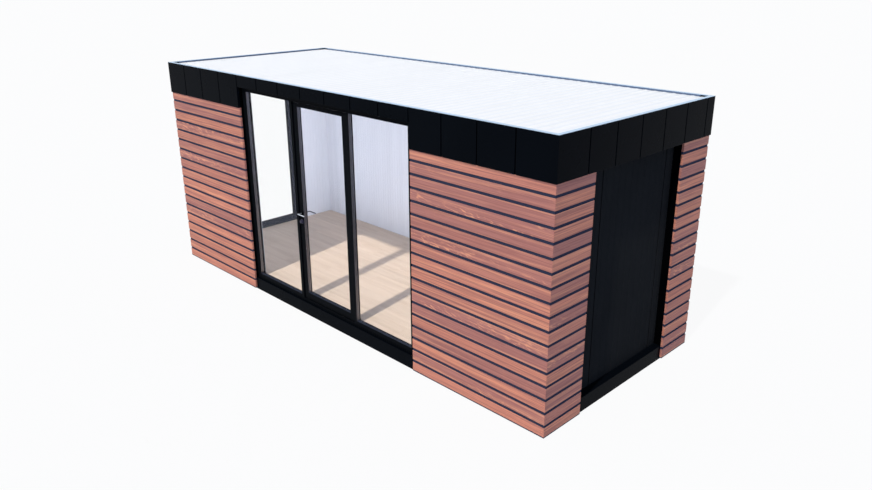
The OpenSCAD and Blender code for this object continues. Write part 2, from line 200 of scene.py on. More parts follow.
class PodStage(bpy.types.PropertyGroup):
    """Floor, light and camera."""
    ground: colour("Ground", "Studio floor", (0.58, 0.61, 0.67))
    ground_white: level("Ground white", "Share of plain white in what the floor shows", 0.93)
    ground_reach: length("Ground reach", "Half the side of the studio floor", 120)
    ground_drop: length("Ground drop", "How far the studio floor lies under the pod", 0.001)
    sky: colour("Sky", "Soft light from all round", (0.68, 0.80, 1.0))
    sky_right: colour("Right sky", "Soft light from the right", (0.42, 0.58, 0.98))
    sky_level: level("Sky level", "Level of the soft light", 0.56)
    sun: colour("Sun", "Key light", (1.0, 0.94, 0.86))
    sun_level: level("Sun level", "Level of the key light", 2.75)
    sun_course: angle("Sun course", "Way the key light travels, from the X axis", 100)
    sun_height: angle("Sun height", "Height of the key light over the horizon", 50.3)
    sun_width: angle("Sun width", "Width of the key light in the sky", 1.8)
    room: colour("Room", "Soft light in the room", (0.78, 0.85, 1.0))
    room_level: level("Room level", "Power of the soft lamps in the room on a square metre", 1.62)
    lamp_spread: angle("Lamp spread", "How far the soft lamps shine to the sides", 50)
    lamp_margin: length("Lamp margin", "Room over and under the soft lamps", 0.02)
    front_lamp: length("Front lamp", "Width of the soft lamp behind the front", 5.6)
    front_lamp_in: length("Front lamp place", "From the front's fascia face to its lamp", 0.2)
    end_lamp: length("End lamp", "Width of the soft lamp at the right end", 1.9)
    end_lamp_in: length("End lamp place", "From the right end's fascia face to its lamp", 0.22)
    end_lamp_level: level("End lamp level", "Power of the lamp at the right end for 1 at the front", 2.2)
    lens: FloatProperty(name="Lens", description="Focal length in millimetres", default=31.192, min=1)
    eye: FloatVectorProperty(name="Eye", description="Place of the camera",
                             default=(6.1676, -5.5500, 3.7356), subtype="XYZ", unit="LENGTH")
    turn: FloatVectorProperty(name="Turn", description="Rotation of the camera",
                              default=(math.radians(70.2775), 0, math.radians(44.7726)), subtype="EULER")
    shift: FloatVectorProperty(name="Shift", description="Shift of the camera",
                               default=(-0.0107, -0.0133), size=2)


# Shader helpers


def connect(tree, node, inputs):
    """Links or sets the inputs of a node."""
    for key, value in inputs.items():
        if isinstance(value, bpy.types.NodeSocket):
            tree.links.new(value, node.inputs[key])
        else:
            node.inputs[key].default_value = value


def add(tree, kind, settings=None, inputs=None):
    """A new node with its settings, its inputs linked or set."""
    made = tree.nodes.new(kind)
    for key, value in (settings or {}).items():
        setattr(made, key, value)
    connect(tree, made, inputs or {})
    return made


def new_finish(name):
    """A material with one main shader. Returns the material, its tree and the shader."""
    made = bpy.data.materials.new(name)
    made.use_nodes = True
    shader = made.node_tree.nodes["Principled BSDF"]
    return made, made.node_tree, shader


def place_of(tree, stretch=(1, 1, 1)):
    """Object coordinates, stretched."""
    source = add(tree, "ShaderNodeTexCoord").outputs["Object"]
    return add(tree, "ShaderNodeMapping", None, {"Vector": source, "Scale": stretch}).outputs[0]


def vectors(tree, operation, first, second):
    """One sum on two vectors."""
    return add(tree, "ShaderNodeVectorMath", {"operation": operation}, {0: first, 1: second}).outputs[0]


def first_of(tree, vector):
    """The first coordinate of a vector."""
    return add(tree, "ShaderNodeSeparateXYZ", None, {0: vector}).outputs[0]


def noise(tree, vector, scale, detail=3.0, rough=0.55):
    """Smooth noise between 0 and 1."""
    inputs = {"Vector": vector, "Scale": scale, "Detail": detail, "Roughness": rough}
    return add(tree, "ShaderNodeTexNoise", None, inputs).outputs[0]


def grained(tree, place, stretch, detail, rough):
    """Smooth noise with each axis multiplied."""
    return noise(tree, vectors(tree, "MULTIPLY", place, stretch), 1, detail, rough)


def spread(tree, value, low, high, to_low, to_high):
    """A value taken from one range to another."""
    inputs = {"Value": value, "From Min": low, "From Max": high, "To Min": to_low, "To Max": to_high}
    return add(tree, "ShaderNodeMapRange", None, inputs).outputs[0]


def maths(tree, operation, first, second=0):
    """One sum on two values."""
    return add(tree, "ShaderNodeMath", {"operation": operation}, {0: first, 1: second}).outputs[0]


def mixed(tree, factor, first, second, way="MIX"):
    """Two colours mixed by a factor."""
    settings = {"data_type": "RGBA", "blend_type": way}
    inputs = {0: factor}
    for index, value in ((6, first), (7, second)):
        inputs[index] = value if isinstance(value, bpy.types.NodeSocket) else (*value, 1)
    return add(tree, "ShaderNodeMix", settings, inputs).outputs[2]


def read(tree, name, output):
    """An attribute of the piece."""
    return add(tree, "ShaderNodeAttribute", {"attribute_name": name}).outputs[output]


def bumped(tree, shader, height, strength, distance):
    """Relief from a height."""
    inputs = {"Height": height, "Strength": strength, "Distance": distance}
    bump = add(tree, "ShaderNodeBump", None, inputs)
    tree.links.new(bump.outputs[0], shader.inputs["Normal"])


def shaded(tree, base, factor, low, high):
    """A colour that goes from low to high times itself by a factor."""
    lower = tuple(c * low for c in base)
    upper = tuple(min(1, c * high) for c in base)
    return mixed(tree, factor, lower, upper)


def toned(tree, body, value):
    """A colour made lighter or darker."""
    return add(tree, "ShaderNodeHueSaturation", None, {"Color": body, "Value": value}).outputs[0]


def show(tree, output, factor, first, second):
    """Sets an output to two shaders mixed by a factor."""
    both = add(tree, "ShaderNodeMixShader", None, {0: factor, 1: first.outputs[0], 2: second.outputs[0]})
    tree.links.new(both.outputs[0], tree.nodes[output].inputs["Surface"])


# Finishes

FINISHES = {}


def finish(name):
    """A finish by name, made on first use."""
    if name not in FINISHES:
        FINISHES[name] = MAKERS[name]()
    return FINISHES[name]


def timber_finish():
    """Reddish softwood: streaks, pale flecks and fibre along each board, and a shade for every board."""
    look = bpy.context.scene.pod_timber
    made, tree, shader = new_finish("timber")
    shift = read(tree, "shift", "Vector")
    tint = read(tree, "tint", "Fac")
    hue = maths(tree, "FRACT", first_of(tree, shift))
    place = vectors(tree, "ADD", read(tree, "grain", "Vector"), shift)
    fibre = grained(tree, place, (5, 320, 320), 3, 0.6)
    vein = grained(tree, place, (2.2, 150, 80), 2, 0.5)
    streak = grained(tree, place, (0.8, 70, 45), 3, 0.6)
    band = grained(tree, place, (0.45, 27, 14), 2, 0.5)
    slant = add(tree, "ShaderNodeVectorRotate", {"rotation_type": "Z_AXIS"}, {"Vector": place, "Angle": 0.16})
    fleck = grained(tree, slant.outputs[0], (13, 66, 26), 2, 0.5)
    figure = grained(tree, place, (1.3, 7, 5), 1, 0.5)
    plum_board = spread(tree, tint, 0.36, 0.3, 0.1, 1)
    few = maths(tree, "MULTIPLY", plum_board, spread(tree, hue, 0.42, 0.48, 0.1, 1))
    figured = maths(tree, "MULTIPLY", few, spread(tree, figure, 0.44, 0.58, 0, 1))
    pale = maths(tree, "MULTIPLY", spread(tree, fleck, 0.53, 0.66, 0, 0.7), figured)
    body = mixed(tree, spread(tree, tint, 0.2, 0.8, 0, 1), look.plum, look.mid)
    body = mixed(tree, spread(tree, band, 0.5, 0.62, 0, 0.45), body, look.light)
    body = mixed(tree, spread(tree, streak, 0.48, 0.62, 0, 0.62), body, look.dark)
    body = mixed(tree, spread(tree, vein, 0.48, 0.62, 0, 0.44), body, look.dark)
    body = mixed(tree, pale, body, look.light)
    body = mixed(tree, spread(tree, fibre, 0.4, 0.75, 0, 0.6), body, (0.72, 0.66, 0.68), "MULTIPLY")
    connect(tree, shader, {
        "Base Color": toned(tree, body, spread(tree, hue, 0, 1, 0.94, 1.06)),
        "Roughness": spread(tree, fibre, 0, 1, 0.5, 0.74),
        "Specular IOR Level": 0.25,
    })
    relief = maths(tree, "SUBTRACT", fibre, maths(tree, "MULTIPLY", streak, 0.6))
    bumped(tree, shader, relief, 0.35, 0.0006)
    return made


def joint_finish():
    """The dark stain in the open joints between the boards."""
    look = bpy.context.scene.pod_timber
    made, tree, shader = new_finish("dark_joint")
    cloud = noise(tree, place_of(tree), 60, 4)
    connect(tree, shader, {
        "Base Color": shaded(tree, look.joint, cloud, 0.75, 1.25),
        "Roughness": spread(tree, cloud, 0, 1, 0.7, 0.9),
        "Specular IOR Level": 0.1,
    })
    return made


def coat(name, base, rough, shine, peel=0.25):
    """A satin powder coat: a fine peel, slow changes of gloss and a little shade."""
    made, tree, shader = new_finish(name)
    place = place_of(tree)
    cloud = noise(tree, place, 2.3, 4)
    connect(tree, shader, {
        "Base Color": shaded(tree, base, cloud, 0.85, 1.18),
        "Roughness": spread(tree, cloud, 0.3, 0.7, rough - 0.05, rough + 0.06),
        "Specular IOR Level": shine,
    })
    bumped(tree, shader, noise(tree, place, 850, 2), peel, 0.0002)
    return made


def coal_finish():
    """Powder coat of the fascia and the rails."""
    return coat("coal_metal", bpy.context.scene.pod_metal.coal, 0.28, 0.012)


def frame_finish():
    """Powder coat of the glazing frames."""
    return coat("frame_metal", bpy.context.scene.pod_metal.frame, 0.4, 0.012)


def panel_finish():
    """Matt coat of the end panel."""
    return coat("panel_metal", bpy.context.scene.pod_metal.panel, 0.6, 0)


def satin_finish():
    """Anodised aluminium of the glazing beads and the spacer bars."""
    look = bpy.context.scene.pod_metal
    made, tree, shader = new_finish("satin_metal")
    marks = noise(tree, place_of(tree), 320, 2)
    connect(tree, shader, {
        "Base Color": shaded(tree, look.satin, marks, 0.9, 1.1),
        "Roughness": spread(tree, marks, 0, 1, 0.24, 0.34),
        "Metallic": 1,
    })
    return made


def slate_finish():
    """Coat of the end window's bars and of the level beads."""
    return coat("slate_metal", bpy.context.scene.pod_metal.slate, 0.5, 0.002, 0.05)


def rose_finish():
    """Dark metal of the lock, and painted shade on the inner lever, which is steel like the outer one."""
    return coat("rose_metal", bpy.context.scene.pod_metal.rose, 0.32, 0.15)


def reveal_finish():
    """Black edges of the walls, and painted shade on the roof core in the soffit under the fascia."""
    return coat("reveal_black", bpy.context.scene.pod_room.reveal, 0.7, 0.004)


def capping_finish():
    """Coated sheet on top of the parapet."""
    return coat("capping_metal", bpy.context.scene.pod_metal.capping, 0.42, 0.4)


def upstand_finish():
    """Inner leg of the parapet capping: painted shade, the leg being the same sheet as the capping's top."""
    return coat("upstand_metal", bpy.context.scene.pod_metal.upstand, 0.4, 0.3)


def roof_finish():
    """White coated roof sheet with faint run-off streaks down the ribs, and a painted shade across every rib.
    """
    look = bpy.context.scene.pod_metal
    made, tree, shader = new_finish("roof_sheet")
    place = place_of(tree)
    runs = noise(tree, place_of(tree, (9, 0.6, 9)), 1, 4, 0.6)
    dust = maths(tree, "MULTIPLY", runs, noise(tree, place, 1.4, 3))
    # Painted shade: across each rib pitch the colour goes from lighter to darker, standing in for the shading
    # of the ribs.
    lap = maths(tree, "FRACT", maths(tree, "DIVIDE", first_of(tree, place), look.rib_pitch))
    painted_rib_shade = mixed(tree, spread(tree, lap, 0, 1, 0, 1), (1.06, 1.045, 1.015), (0.915, 0.935, 0.965))
    connect(tree, shader, {
        "Base Color": mixed(tree, 1, shaded(tree, look.roof, dust, 1.04, 0.93), painted_rib_shade, "MULTIPLY"),
        "Roughness": spread(tree, runs, 0.2, 0.8, 0.42, 0.58),
        "Specular IOR Level": 0.3,
    })
    bumped(tree, shader, noise(tree, place, 500, 2), 0.15, 0.0002)
    return made


def lining_finish():
    """Cool white coated lining."""
    look = bpy.context.scene.pod_room
    made, tree, shader = new_finish("white_panel")
    cloud = noise(tree, place_of(tree, (3, 3, 0.7)), 1, 4)
    fine = noise(tree, place_of(tree), 600, 2)
    strip = spread(tree, read(tree, "tint", "Fac"), 0, 1, 0.965, 1.015)
    connect(tree, shader, {
        "Base Color": toned(tree, shaded(tree, look.white, cloud, 0.97, 1.02), strip),
        "Roughness": spread(tree, fine, 0.2, 0.8, 0.5, 0.62),
        "Specular IOR Level": 0.25,
    })
    bumped(tree, shader, fine, 0.15, 0.0002)
    return made


def oak_finish():
    """Pale oak planks, each with its own shade, with pores and slow bands along their length."""
    look = bpy.context.scene.pod_room
    made, tree, shader = new_finish("oak_floor")
    place = vectors(tree, "ADD", place_of(tree), read(tree, "shift", "Vector"))
    pores = grained(tree, place, (9, 420, 60), 3, 0.6)
    bands = grained(tree, place, (0.9, 15, 8), 3, 0.55)
    body = mixed(tree, spread(tree, bands, 0.38, 0.66, 0, 0.85), look.oak, look.oak_dark)
    body = mixed(tree, spread(tree, pores, 0.45, 0.75, 0, 0.6), body, look.oak_dark)
    connect(tree, shader, {
        "Base Color": toned(tree, body, spread(tree, read(tree, "tint", "Fac"), 0, 1, 0.96, 1.04)),
        "Roughness": spread(tree, pores, 0.2, 0.8, 0.42, 0.6),
        "Specular IOR Level": 0.25,
    })
    bumped(tree, shader, pores, 0.2, 0.0004)
    return made


def steel_finish():
    """Brushed steel, the brush marks across the bars."""
    look = bpy.context.scene.pod_metal
    made, tree, shader = new_finish("handle_steel")
    marks = noise(tree, place_of(tree, (900, 60, 900)), 1, 3, 0.6)
    connect(tree, shader, {
        "Base Color": shaded(tree, look.steel, marks, 0.85, 1.12),
        "Roughness": spread(tree, marks, 0.2, 0.8, 0.40, 0.56),
        "Metallic": 1,
    })
    bumped(tree, shader, marks, 0.1, 0.0001)
    return made


def rubber_finish():
    """Black gasket rubber."""
    made, tree, shader = new_finish("gasket_rubber")
    cloud = noise(tree, place_of(tree), 240, 3)
    connect(tree, shader, {
        "Base Color": shaded(tree, (0.004, 0.0045, 0.008), cloud, 0.8, 1.2),
        "Roughness": spread(tree, cloud, 0, 1, 0.6, 0.8),
        "Specular IOR Level": 0.05,
    })
    return made


def glass_finish():
    """Clear glass that lets the lamps and scattered light through."""
    clear = (0.996, 0.998, 0.998)
    made, tree, shader = new_finish("glass")
    connect(tree, shader, {
        "Base Color": shaded(tree, clear, noise(tree, place_of(tree), 1.3, 3), 0.997, 1.002),
        "Transmission Weight": 1,
        "IOR": 1.08,
        "Roughness": 0,
    })
    gap = add(tree, "ShaderNodeBsdfTransparent", None, {"Color": (*clear, 1)})
    path = add(tree, "ShaderNodeLightPath")
    lamp = maths(tree, "MAXIMUM", path.outputs["Is Shadow Ray"], path.outputs["Is Diffuse Ray"])
    show(tree, "Material Output", lamp, shader, gap)
    return made


MAKERS = {
    "timber": timber_finish, "joint": joint_finish, "coal": coal_finish, "frame": frame_finish,
    "panel": panel_finish, "satin": satin_finish, "slate": slate_finish, "rose": rose_finish,
    "reveal": reveal_finish, "capping": capping_finish, "upstand": upstand_finish, "roof": roof_finish,
    "lining": lining_finish, "oak": oak_finish, "steel": steel_finish, "rubber": rubber_finish,
    "glass": glass_finish,
}


# Mesh helpers


def box_of(node):
    """A node's low and high corners."""
    return [Vector(corner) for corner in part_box(node)]


def span(node, side="front"):
    """A node's low and high corners on a side."""
    turn = SIDES[side].inverted()
    first, second = [turn @ corner for corner in box_of(node)]
    low = Vector([min(pair) for pair in zip(first, second)])
    high = Vector([max(pair) for pair in zip(first, second)])
    return low, high


def copy_of(node):
    """A copy of a node's mesh with its doubles merged."""
    work = bmesh.new()
    work.from_mesh(frame["nodes"][node].data)
    bmesh.ops.remove_doubles(work, verts=work.verts, dist=MERGE)
    return work


def bars_of(node):
    """The box of every separate solid in a node."""
    work = copy_of(node)
    left = set(work.verts)
    found = []
    while left:
        group = {left.pop()}
        edge = list(group)
        while edge:
            near = [e.other_vert(v) for v in edge for e in v.link_edges]
            edge = [v for v in set(near) if v not in group]
            group.update(edge)
        left -= group
        low = Vector([min(v.co[k] for v in group) for k in range(3)])
        high = Vector([max(v.co[k] for v in group) for k in range(3)])
        found.append((low, high))
    work.free()
    return sorted(found, key=lambda pair: tuple(pair[0]))


def prism(work, outline, low, high):
    """Adds an outline in plan, raised from low to high."""
    foot = [work.verts.new((x, y, low)) for x, y in outline]
    head = [work.verts.new((x, y, high)) for x, y in outline]
    faces = [work.faces.new(foot), work.faces.new(head)]
    for k in range(len(outline)):
        n = (k + 1) % len(outline)
        faces.append(work.faces.new((foot[k], foot[n], head[n], head[k])))
    bmesh.ops.recalc_face_normals(work, faces=faces)


def block(work, low, high):
    """Adds a box."""
    outline = ((low[0], low[1]), (high[0], low[1]), (high[0], high[1]), (low[0], high[1]))
    prism(work, outline, low[2], high[2])


def polar(radius, turn):
    """A point at a distance from the origin and at an angle."""
    return (radius * math.cos(turn), radius * math.sin(turn))


def arc(radius, start, end, steps):
    """Points on an arc about the origin."""
    return [polar(radius, start + (end - start) * k / steps) for k in range(steps + 1)]


def swapped(point, axis, value):
    """A copy of a point with one coordinate changed."""
    made = point.copy()
    made[axis] = value
    return made


def ring(work, low, high, width, axis):
    """Adds a mitred frame of flat bars inside a box, open along the axis."""
    across = (axis + 1) % 3
    upward = (axis + 2) % 3
    corners = []
    for a, b in ((0, 0), (1, 0), (1, 1), (0, 1)):
        loop = []
        for inset in (0, width):
            for depth in (low[axis], high[axis]):
                point = [0, 0, 0]
                point[axis] = depth
                point[across] = high[across] - inset if a else low[across] + inset
                point[upward] = high[upward] - inset if b else low[upward] + inset
                loop.append(work.verts.new(point))
        corners.append(loop)
    faces = []
    for k in range(4):
        here, then = corners[k], corners[(k + 1) % 4]
        for p, q in ((0, 1), (1, 3), (3, 2), (2, 0)):
            faces.append(work.faces.new((here[p], then[p], then[q], here[q])))
    bmesh.ops.recalc_face_normals(work, faces=faces)


def soften(work, width):
    """Rounds every edge where two faces meet sharply."""
    sharp = [e for e in work.edges if e.is_manifold and e.calc_face_angle() > SHARP]
    bmesh.ops.bevel(work, geom=sharp, offset=width, offset_type="OFFSET", segments=2, profile=0.5,
                    affect="EDGES", clamp_overlap=True)


def linked(name, data):
    """A new object in the scene."""
    made = bpy.data.objects.new(name, data)
    bpy.context.scene.collection.objects.link(made)
    return made


def as_object(name, work, *looks):
    """A new object from a mesh in work."""
    mesh = bpy.data.meshes.new(name)
    work.to_mesh(mesh)
    work.free()
    for look in looks:
        mesh.materials.append(finish(look))
    return linked(name, mesh)


def on_side(name, work, side, look):
    """A new object from a mesh in work that was made on a side."""
    work.transform(SIDES[side])
    return as_object(name, work, look)


def relook(piece, look, chosen):
    """Gives the chosen faces of a piece another finish."""
    piece.data.materials.append(finish(look))
    last = len(piece.data.materials) - 1
    for face in piece.data.polygons:
        if chosen(face):
            face.material_index = last


def seat(piece, slot, *nodes, body="pod"):
    """Lets a piece ride on its body and hides the nodes that it stands for; its slot is not used."""
    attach(piece, body)
    if nodes:
        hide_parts(*nodes)
    return piece


def dressed(name, node, look, slot, body="pod", width=0, smooth=False):
    """A copy of a node with softened edges or smooth rounds, in place of it."""
    work = copy_of(node)
    bmesh.ops.dissolve_limit(work, angle_limit=FLAT, verts=work.verts, edges=work.edges)
    if width:
        soften(work, width)
    made = as_object(name, work, look)
    if smooth:
        made.data.shade_smooth()
        made.data.set_sharp_from_angle(angle=SMOOTH)
    return seat(made, slot, node, body=body)


# Geometry node helpers


def start_tree(name, sockets):
    """A geometry tree with named inputs. Returns it, its input and output nodes and the inputs' keys."""
    tree = bpy.data.node_groups.new(name, "GeometryNodeTree")
    keys = {}
    for label, kind in (("Geometry", "NodeSocketGeometry"), *sockets):
        keys[label] = tree.interface.new_socket(label, in_out="INPUT", socket_type=kind).identifier
    tree.interface.new_socket("Geometry", in_out="OUTPUT", socket_type="NodeSocketGeometry")
    return tree, add(tree, "NodeGroupInput"), add(tree, "NodeGroupOutput"), keys


def named(tree, name, kind):
    """An attribute of the geometry."""
    return add(tree, "GeometryNodeInputNamedAttribute", {"data_type": kind}, {"Name": name}).outputs[0]


def end_tree(tree, copies, last, seed, look, edge_look):
    """Gives every copy a shade and a grain shift of its own, makes them one mesh and sets its finishes."""
    draws = (
        ("tint", "FLOAT", 1, {2: 0.0, 3: 1.0}),
        ("shift", "FLOAT_VECTOR", 0, {0: (0, 0, 0), 1: (40, 40, 40)}),
    )
    for name, kind, output, limits in draws:
        drawn = add(tree, "FunctionNodeRandomValue", {"data_type": kind}, {**limits, "Seed": seed})
        settings = {"data_type": kind, "domain": "INSTANCE"}
        inputs = {"Geometry": copies, "Name": name, "Value": drawn.outputs[output]}
        copies = add(tree, "GeometryNodeStoreNamedAttribute", settings, inputs).outputs[0]
    whole = add(tree, "GeometryNodeRealizeInstances", None, {"Geometry": copies}).outputs[0]
    inputs = {"Geometry": whole, "Material": finish(look)}
    whole = add(tree, "GeometryNodeSetMaterial", None, inputs).outputs[0]
    if edge_look:
        edges = named(tree, "edge", "BOOLEAN")
        inputs = {"Geometry": whole, "Selection": edges, "Material": finish(edge_look)}
        whole = add(tree, "GeometryNodeSetMaterial", None, inputs).outputs[0]
    tree.links.new(whole, last.inputs[0])


def run_tree(piece, tree, keys, values):
    """Runs a tree on a piece and keeps its result as a plain mesh."""
    modifier = piece.modifiers.new(tree.name, "NODES")
    modifier.node_group = tree
    for label, value in values.items():
        modifier[keys[label]] = value
    view = bpy.context.evaluated_depsgraph_get()
    shape = piece.evaluated_get(view)
    mesh = bpy.data.meshes.new_from_object(shape, preserve_all_data_layers=True, depsgraph=view)
    piece.modifiers.clear()
    old = piece.data
    piece.data = mesh
    bpy.data.meshes.remove(old)
    mesh.name = piece.name
    bpy.data.node_groups.remove(tree)
    return piece


def in_row(piece, count, step, look, seed=1):
    """Repeats a piece along a line."""
    sockets = (("Count", "NodeSocketInt"), ("Step", "NodeSocketVector"), ("Seed", "NodeSocketInt"))
    tree, first, last, keys = start_tree(piece.name + "_row", sockets)
    inputs = {"Count": first.outputs["Count"], "Offset": first.outputs["Step"]}
    line = add(tree, "GeometryNodeMeshLine", None, inputs)
    inputs = {"Points": line.outputs[0], "Instance": first.outputs["Geometry"]}
    copies = add(tree, "GeometryNodeInstanceOnPoints", None, inputs).outputs[0]
    end_tree(tree, copies, last, first.outputs["Seed"], look, None)
    return run_tree(piece, tree, keys, {"Count": count, "Step": [float(c) for c in step], "Seed": seed})


def on_spots(name, unit, spots, look, seed, edge_look=None):
    """Sets a unit out on spots, each a place and a stretch along the axes. The unit is used up."""
    mesh = bpy.data.meshes.new(name)
    mesh.from_pydata([place for place, stretch in spots], [], [])
    sizes = mesh.attributes.new("stretch", "FLOAT_VECTOR", "POINT")
    sizes.data.foreach_set("vector", [c for place, stretch in spots for c in stretch])
    piece = linked(name, mesh)
    sockets = (("Unit", "NodeSocketObject"), ("Seed", "NodeSocketInt"))
    tree, first, last, keys = start_tree(name + "_spots", sockets)
    shape = add(tree, "GeometryNodeObjectInfo", None, {"Object": first.outputs["Unit"]}).outputs["Geometry"]
    size = named(tree, "stretch", "FLOAT_VECTOR")
    inputs = {"Points": first.outputs["Geometry"], "Instance": shape, "Scale": size}
    copies = add(tree, "GeometryNodeInstanceOnPoints", None, inputs).outputs[0]
    end_tree(tree, copies, last, first.outputs["Seed"], look, edge_look)
    run_tree(piece, tree, keys, {"Unit": unit, "Seed": seed})
    bpy.data.objects.remove(unit)
    return piece


def ribbed(name, profile, depth, reach, count, place, look):
    """A closed sheet that repeats a profile of (across, height) points, made along reach and set by place."""
    work = bmesh.new()
    rows = []
    for end in reach:
        top = [work.verts.new(place @ Vector((a, end, h))) for a, h in profile]
        foot = [work.verts.new(place @ Vector((a, end, -depth))) for a, h in profile]
        rows.append((top, foot))
    for k in range(len(profile) - 1):
        for line in (0, 1):
            a, b = rows[0][line], rows[1][line]
            work.faces.new((a[k], a[k + 1], b[k + 1], b[k]))
        for top, foot in rows:
            work.faces.new((top[k], top[k + 1], foot[k + 1], foot[k]))
    piece = as_object(name, work, look)
    step = profile[-1][0] - profile[0][0]
    in_row(piece, count, place.to_3x3() @ Vector((step, 0, 0)), look)
    work = bmesh.new()
    work.from_mesh(piece.data)
    bmesh.ops.remove_doubles(work, verts=work.verts, dist=MEET)
    bmesh.ops.holes_fill(work, edges=[e for e in work.edges if e.is_boundary], sides=0)
    bmesh.ops.recalc_face_normals(work, faces=work.faces)
    work.to_mesh(piece.data)
    work.free()
    return piece


def grooved(step, cut, half):
    """Profile of one strip of a lining, with a fine groove along its middle."""
    middle = step / 2
    return ((0, 0), (middle - half, 0), (middle, -cut), (middle + half, 0), (step, 0))


def lined(name, side, across, depth, rise, look, slot, outward=False):
    """A sheet on a side with fine upright lines, its face at a depth. Lines that face outwards are wider."""
    room = bpy.context.scene.pod_room
    start, end = across
    strips = (end - start) / (room.panel_pitch if outward else room.line_pitch)
    # Half a strip over, whatever its last digit, is shared out among the others.
    count = max(1, round(strips - 0.01))
    cut = room.line_depth
    profile = grooved((end - start) / count, cut, cut * (2 if outward else 1))
    facing = -1 if outward else 1
    axes = Matrix(((1, 0, 0, start), (0, 0, facing, depth), (0, 1, 0, 0), (0, 0, 0, 1)))
    piece = ribbed(name, profile, room.lining_t, rise, count, SIDES[side] @ axes, look)
    seat(piece, slot)


# Operators


class PodOperator:
    """What the pod's operators share."""
    bl_options = {"REGISTER", "UNDO"}

    def execute(self, context):
        self.make(context.scene)
        return {"FINISHED"}


class POD_OT_cladding(PodOperator, bpy.types.Operator):
    """Boards in courses on the corners and on the back, mitred where two sides meet"""
    bl_idname = "pod.cladding"
    bl_label = "Cladding"

    def make(self, scene):
        look = scene.pod_timber
        sides = (
            ("cladding_front_left", "front", True, False),
            ("cladding_front_right", "front", False, True),
            ("cladding_left_back", "left", True, False),
            ("cladding_left_front", "left", False, True),
            ("cladding_right_front", "right", True, False),
            ("cladding_right_back", "right", False, True),
            ("cladding_back", "back", True, True),
        )
        pitch = look.height + look.gap
        for seed, (node, side, *mitres) in enumerate(sides, 3):
            name = node.removeprefix("cladding_")
            low, high = span(node, side)
            courses = math.ceil((high.z - low.z) / pitch)
            board = self.sheet(low, high, low.y, 0, look.height, mitres)
            self.mark(board, look.arris)
            unit = on_side("board", board, side, "timber")
            spots = []
            for course in range(courses):
                top = min(high.z, low.z + course * pitch + look.height)
                foot = low.z + max(look.foot, course * pitch)
                spots.append(((0, 0, foot), (1, 1, (top - foot) / look.height)))
            seat(on_spots("boards_" + name, unit, spots, "timber", seed, "joint"), "timber", node)
            strip = self.sheet(low, high, low.y + look.groove, low.z + look.height, low.z + pitch, mitres)
            piece = on_side("joints_" + name, strip, side, "joint")
            seat(in_row(piece, courses - 1, (0, 0, pitch), "joint", seed), "timber", node)
            strip = self.sheet(low, high, low.y, low.z, low.z + look.foot, mitres)
            seat(on_side("foot_" + name, strip, side, "joint"), "timber", node)

    def sheet(self, low, high, face, foot, top, mitres):
        """A board's outline from its face to the wall, cut to the mitres at its low and high ends."""
        work = bmesh.new()
        ends = []
        for v in (face, high.y):
            cut = v - low.y
            ends.append((low.x + cut * mitres[0], high.x - cut * mitres[1]))
        (a, b), (c, d) = ends
        prism(work, ((a, face), (b, face), (d, high.y), (c, high.y)), foot, top)
        return work

    def mark(self, work, arris):
        """Rounds a board and marks its grain and the faces inside the joints."""
        soften(work, arris)
        work.normal_update()
        edge = work.faces.layers.int.new("edge")
        grain = work.verts.layers.float_vector.new("grain")
        for face in work.faces:
            face[edge] = abs(face.normal.z) > 0.8 or face.normal.y > 0.8
        for vert in work.verts:
            vert[grain] = (vert.co.x, vert.co.z, vert.co.y)


class POD_OT_fascia(PodOperator, bpy.types.Operator):
    """Folded trays round the parapet on dark backing strips, with corner trays bent round the corners"""
    bl_idname = "pod.fascia"
    bl_label = "Fascia"

    def make(self, scene):
        look = scene.pod_metal
        half = look.tray_gap / 2
        turn = half + look.tray_fold
        least = look.end_tray / 3
        full = math.floor((POD_D - look.tray - least) / look.end_tray)
        rest = POD_D - look.tray - full * look.end_tray
        wide = span("fascia_front_middle")[0].x - half
        rows = (
            ("fascia_front_left", "front", look.tray, wide),
            ("fascia_front_middle", "front", wide, POD_L - wide),
            ("fascia_front_right", "front", POD_L - wide, POD_L - look.tray),
            ("fascia_back", "back", look.tray, POD_L - look.tray),
            ("fascia_right", "right", look.tray, POD_D - rest),
            ("fascia_left", "left", rest, POD_D - look.tray),
        )
        for node, side, start, end in rows:
            name = node.removeprefix("fascia")
            low, high = span(node, side)
            pitch = look.end_tray if side in ("right", "left") else look.tray
            count = max(1, round((end - start) / pitch))
            step = (end - start) / count
            back = high.y - look.backing
            a = start + turn if node == "fascia_front_right" else start - turn
            b = end - turn if node == "fascia_front_left" else end + turn
            work = bmesh.new()
            block(work, (a, back, low.z), (b, high.y, high.z))
            seat(on_side("backing" + name, work, side, "reveal"), "coal_metal", node)
            work = bmesh.new()
            block(work, (start + turn, 0, low.z), (start + step - turn, back, high.z))
            soften(work, look.fold)
            piece = on_side("trays" + name, work, side, "coal")
            in_row(piece, count, SIDES[side].to_3x3() @ Vector((step, 0, 0)), "coal")
            seat(piece, "coal_metal", node)
        corners = (
            ("front_right", "right", "fascia_front_right", "fascia_right", look.tray, look.tray),
            ("back_right", "back", "fascia_right", "fascia_back", look.tray, rest),
            ("back_left", "left", "fascia_back", "fascia_left", rest, look.tray),
            ("front_left", "front", "fascia_left", "fascia_front_left", look.tray, look.tray),
        )
        depth = span("fascia_right", "right")[1].y
        for name, side, before, after, along, aside in corners:
            low, high = span(before, side)
            a = along - turn
            b = aside - turn
            outline = ((0, 0), (a, 0), (a, depth), (depth, depth), (depth, b), (0, b))
            work = bmesh.new()
            prism(work, outline, low.z, high.z)
            soften(work, look.fold)
            seat(on_side("corner_tray_" + name, work, side, "coal"), "coal_metal", before, after)


